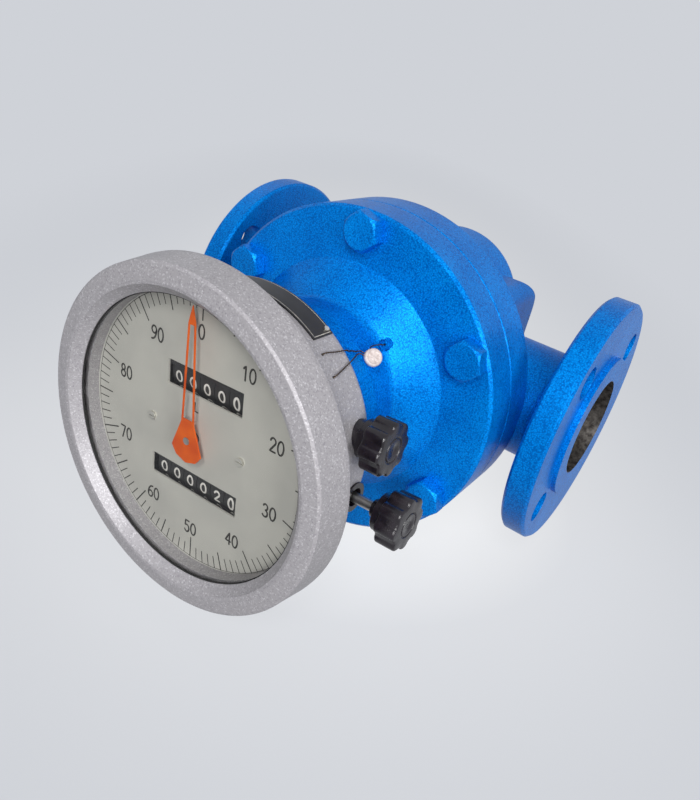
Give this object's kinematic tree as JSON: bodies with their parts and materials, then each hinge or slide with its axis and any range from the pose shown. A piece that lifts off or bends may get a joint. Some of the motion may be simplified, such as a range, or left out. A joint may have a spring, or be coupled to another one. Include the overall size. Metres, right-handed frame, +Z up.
{
  "type": "oval gear flow meter",
  "caption": "Flanged oval gear flow meter: round cast body, magnetic coupling, reduction train, dial head with sweep pointer, two drum registers and two pull-and-turn reset knobs.",
  "frame": {"origin": "centre of the inlet flange's gasket face", "axes": "+X along the pipe with the flow, +Z up, the dial faces -Y"},
  "size_m": [0.25, 0.2722, 0.1872],
  "materials": {
    "blue_enamel": "hammered blue enamel on cast iron",
    "silver_paint": "speckled silver paint on aluminium",
    "dial_paint": "matt grey-green paint",
    "black_paint": "matt black plate with a pale edge line",
    "pointer_paint": "orange-red paint on sheet",
    "gear_steel": "machined cast iron",
    "machined_steel": "machined",
    "screw_steel": "zinc plated",
    "stainless_steel": "stainless, turned",
    "bronze": "turned",
    "magnet_cup": "steel cup with dark magnets",
    "black_rubber": "matt",
    "black_plastic": "moulded, slightly glossy",
    "drum_plastic": "black with white figures",
    "dial_glass": "clear",
    "seal_wire": "dull brown",
    "seal_lead": "pale crimped disc"
  },
  "bodies": {
    "meter": {"meter_body": "blue_enamel", "rear_bearing_plate": "machined_steel", "chamber_plate": "machined_steel", "gear_bushes": "bronze", "chamber_screws": "screw_steel", "cover_o_ring": "black_rubber", "front_cover": "blue_enamel", "cover_bolts": "blue_enamel", "separating_disc": "stainless_steel", "clamp_ring": "stainless_steel", "clamp_ring_screws": "screw_steel", "gearbox_frame": "bronze", "neck_adapter": "blue_enamel", "case_screws": "screw_steel", "counter_case": "silver_paint", "register_frame": "machined_steel", "drum_shafts": "screw_steel", "dial_plate": "dial_paint", "dial_screws": "screw_steel", "dial_ring": "silver_paint", "glass": "dial_glass", "glass_gasket": "black_rubber", "bezel": "silver_paint", "nameplate": "black_paint", "nameplate_rivets": "screw_steel", "knob_glands": "black_plastic", "seal_screw": "blue_enamel", "seal_wire": "seal_wire", "lead_seal": "seal_lead"},
    "upper_gear": {"upper_oval_gear": "gear_steel", "upper_gear_shaft": "machined_steel"},
    "lower_gear": {"lower_oval_gear": "gear_steel", "lower_gear_shaft": "machined_steel"},
    "wet_train": {"centre_wheel": "bronze", "drive_magnet": "magnet_cup"},
    "dry_train": {"driven_magnet": "magnet_cup", "follower_shaft": "machined_steel"},
    "first_idler": {"first_idler": "bronze"},
    "second_idler": {"second_idler": "bronze"},
    "output": {"output_wheel": "bronze", "output_shaft": "machined_steel", "pointer": "pointer_paint"},
    "upper_cross": {"upper_cross_shaft": "bronze"},
    "lower_cross": {"lower_cross_shaft": "bronze"},
    "upper_drum_1": {"upper_drum_1": "drum_plastic"},
    "upper_drum_2": {"upper_drum_2": "drum_plastic"},
    "upper_drum_3": {"upper_drum_3": "drum_plastic"},
    "upper_drum_4": {"upper_drum_4": "drum_plastic"},
    "upper_drum_5": {"upper_drum_5": "drum_plastic"},
    "lower_drum_1": {"lower_drum_1": "drum_plastic"},
    "lower_drum_2": {"lower_drum_2": "drum_plastic"},
    "lower_drum_3": {"lower_drum_3": "drum_plastic"},
    "lower_drum_4": {"lower_drum_4": "drum_plastic"},
    "lower_drum_5": {"lower_drum_5": "drum_plastic"},
    "lower_drum_6": {"lower_drum_6": "drum_plastic"},
    "upper_slide": {"upper_slide_collar": "bronze"},
    "lower_slide": {"lower_slide_collar": "bronze"},
    "upper_knob": {"upper_knob": "black_plastic"},
    "lower_knob": {"lower_knob": "black_plastic"}
  },
  "joints": [
    {"name": "upper_gear_turn", "type": "hinge", "parent": "meter", "child": "upper_gear", "pos_m": [0.125, 0, 0.026], "axis": [0, 1, 0], "continuous": true},
    {"name": "lower_gear_turn", "type": "hinge", "parent": "meter", "child": "lower_gear", "pos_m": [0.125, 0, -0.026], "axis": [0, 1, 0], "continuous": true},
    {"name": "wet_train_turn", "type": "hinge", "parent": "meter", "child": "wet_train", "pos_m": [0.125, -0.055, 0], "axis": [0, 1, 0], "continuous": true},
    {"name": "dry_train_turn", "type": "hinge", "parent": "meter", "child": "dry_train", "pos_m": [0.125, -0.075, 0], "axis": [0, 1, 0], "continuous": true},
    {"name": "first_idler_turn", "type": "hinge", "parent": "meter", "child": "first_idler", "pos_m": [0.1425, -0.08, 0], "axis": [0, 1, 0], "continuous": true},
    {"name": "second_idler_turn", "type": "hinge", "parent": "meter", "child": "second_idler", "pos_m": [0.13375, -0.09, 0.01516], "axis": [0, 1, 0], "continuous": true},
    {"name": "output_turn", "type": "hinge", "parent": "meter", "child": "output", "pos_m": [0.125, -0.12, 0], "axis": [0, 1, 0], "continuous": true},
    {"name": "upper_cross_turn", "type": "hinge", "parent": "meter", "child": "upper_cross", "pos_m": [0.12443, -0.16121, 0.00898], "axis": [0.998, 0, 0.0637], "continuous": true},
    {"name": "lower_cross_turn", "type": "hinge", "parent": "meter", "child": "lower_cross", "pos_m": [0.12557, -0.15844, -0.00898], "axis": [0.998, 0, 0.0637], "continuous": true},
    {"name": "upper_drum_5_turn", "type": "hinge", "parent": "meter", "child": "upper_drum_5", "pos_m": [0.14449, -0.1704, 0.0275], "axis": [0.998, 0, 0.0637], "continuous": true},
    {"name": "upper_drum_4_turn", "type": "hinge", "parent": "meter", "child": "upper_drum_4", "pos_m": [0.13591, -0.1704, 0.02695], "axis": [0.998, 0, 0.0637], "continuous": true},
    {"name": "upper_drum_3_turn", "type": "hinge", "parent": "meter", "child": "upper_drum_3", "pos_m": [0.12732, -0.1704, 0.0264], "axis": [0.998, 0, 0.0637], "continuous": true},
    {"name": "upper_drum_2_turn", "type": "hinge", "parent": "meter", "child": "upper_drum_2", "pos_m": [0.11874, -0.1704, 0.02585], "axis": [0.998, 0, 0.0637], "continuous": true},
    {"name": "upper_drum_1_turn", "type": "hinge", "parent": "meter", "child": "upper_drum_1", "pos_m": [0.11016, -0.1704, 0.02531], "axis": [0.998, 0, 0.0637], "continuous": true},
    {"name": "lower_drum_6_turn", "type": "hinge", "parent": "meter", "child": "lower_drum_6", "pos_m": [0.14901, -0.1704, -0.02292], "axis": [0.998, 0, 0.0637], "continuous": true},
    {"name": "lower_drum_5_turn", "type": "hinge", "parent": "meter", "child": "lower_drum_5", "pos_m": [0.14042, -0.1704, -0.02347], "axis": [0.998, 0, 0.0637], "continuous": true},
    {"name": "lower_drum_4_turn", "type": "hinge", "parent": "meter", "child": "lower_drum_4", "pos_m": [0.13184, -0.1704, -0.02401], "axis": [0.998, 0, 0.0637], "continuous": true},
    {"name": "lower_drum_3_turn", "type": "hinge", "parent": "meter", "child": "lower_drum_3", "pos_m": [0.12326, -0.1704, -0.02456], "axis": [0.998, 0, 0.0637], "continuous": true},
    {"name": "lower_drum_2_turn", "type": "hinge", "parent": "meter", "child": "lower_drum_2", "pos_m": [0.11468, -0.1704, -0.02511], "axis": [0.998, 0, 0.0637], "continuous": true},
    {"name": "lower_drum_1_turn", "type": "hinge", "parent": "meter", "child": "lower_drum_1", "pos_m": [0.10609, -0.1704, -0.02566], "axis": [0.998, 0, 0.0637], "continuous": true},
    {"name": "upper_knob_slide", "type": "slide", "parent": "meter", "child": "upper_slide", "axis": [0.998, 0, 0.0637], "range_m": [0, 0.014]},
    {"name": "upper_knob_turn", "type": "hinge", "parent": "upper_slide", "child": "upper_knob", "pos_m": [0.17391, -0.1495, 0.01865], "axis": [0.998, 0, 0.0637], "continuous": true},
    {"name": "lower_knob_slide", "type": "slide", "parent": "meter", "child": "lower_slide", "axis": [0.998, 0, 0.0637], "range_m": [-0.014, 0]},
    {"name": "lower_knob_turn", "type": "hinge", "parent": "lower_slide", "child": "lower_knob", "pos_m": [0.17589, -0.1495, -0.01229], "axis": [0.998, 0, 0.0637], "continuous": true}
  ],
  "couplings": [
    {"joint": "lower_gear_turn", "follows": "upper_gear_turn", "ratio": -1},
    {"joint": "wet_train_turn", "follows": "upper_gear_turn", "ratio": -0.44444},
    {"joint": "dry_train_turn", "follows": "upper_gear_turn", "ratio": -0.44444},
    {"joint": "first_idler_turn", "follows": "upper_gear_turn", "ratio": 0.074074},
    {"joint": "second_idler_turn", "follows": "upper_gear_turn", "ratio": -0.012346},
    {"joint": "output_turn", "follows": "upper_gear_turn", "ratio": 0.0020576},
    {"joint": "upper_cross_turn", "follows": "upper_gear_turn", "ratio": -0.00020576},
    {"joint": "lower_cross_turn", "follows": "upper_gear_turn", "ratio": 0.00020576},
    {"joint": "upper_drum_5_turn", "follows": "upper_gear_turn", "ratio": 0.00020576},
    {"joint": "upper_drum_4_turn", "follows": "upper_gear_turn", "ratio": 0.000020576},
    {"joint": "upper_drum_3_turn", "follows": "upper_gear_turn", "ratio": 0.0000020576},
    {"joint": "upper_drum_2_turn", "follows": "upper_gear_turn", "ratio": 0.00000020576},
    {"joint": "upper_drum_1_turn", "follows": "upper_gear_turn", "ratio": 0.000000020576},
    {"joint": "lower_drum_6_turn", "follows": "upper_gear_turn", "ratio": -0.00020576},
    {"joint": "lower_drum_5_turn", "follows": "upper_gear_turn", "ratio": -0.000020576},
    {"joint": "lower_drum_4_turn", "follows": "upper_gear_turn", "ratio": -0.0000020576},
    {"joint": "lower_drum_3_turn", "follows": "upper_gear_turn", "ratio": -0.00000020576},
    {"joint": "lower_drum_2_turn", "follows": "upper_gear_turn", "ratio": -0.000000020576},
    {"joint": "lower_drum_1_turn", "follows": "upper_gear_turn", "ratio": -0.0000000020576}
  ]
}
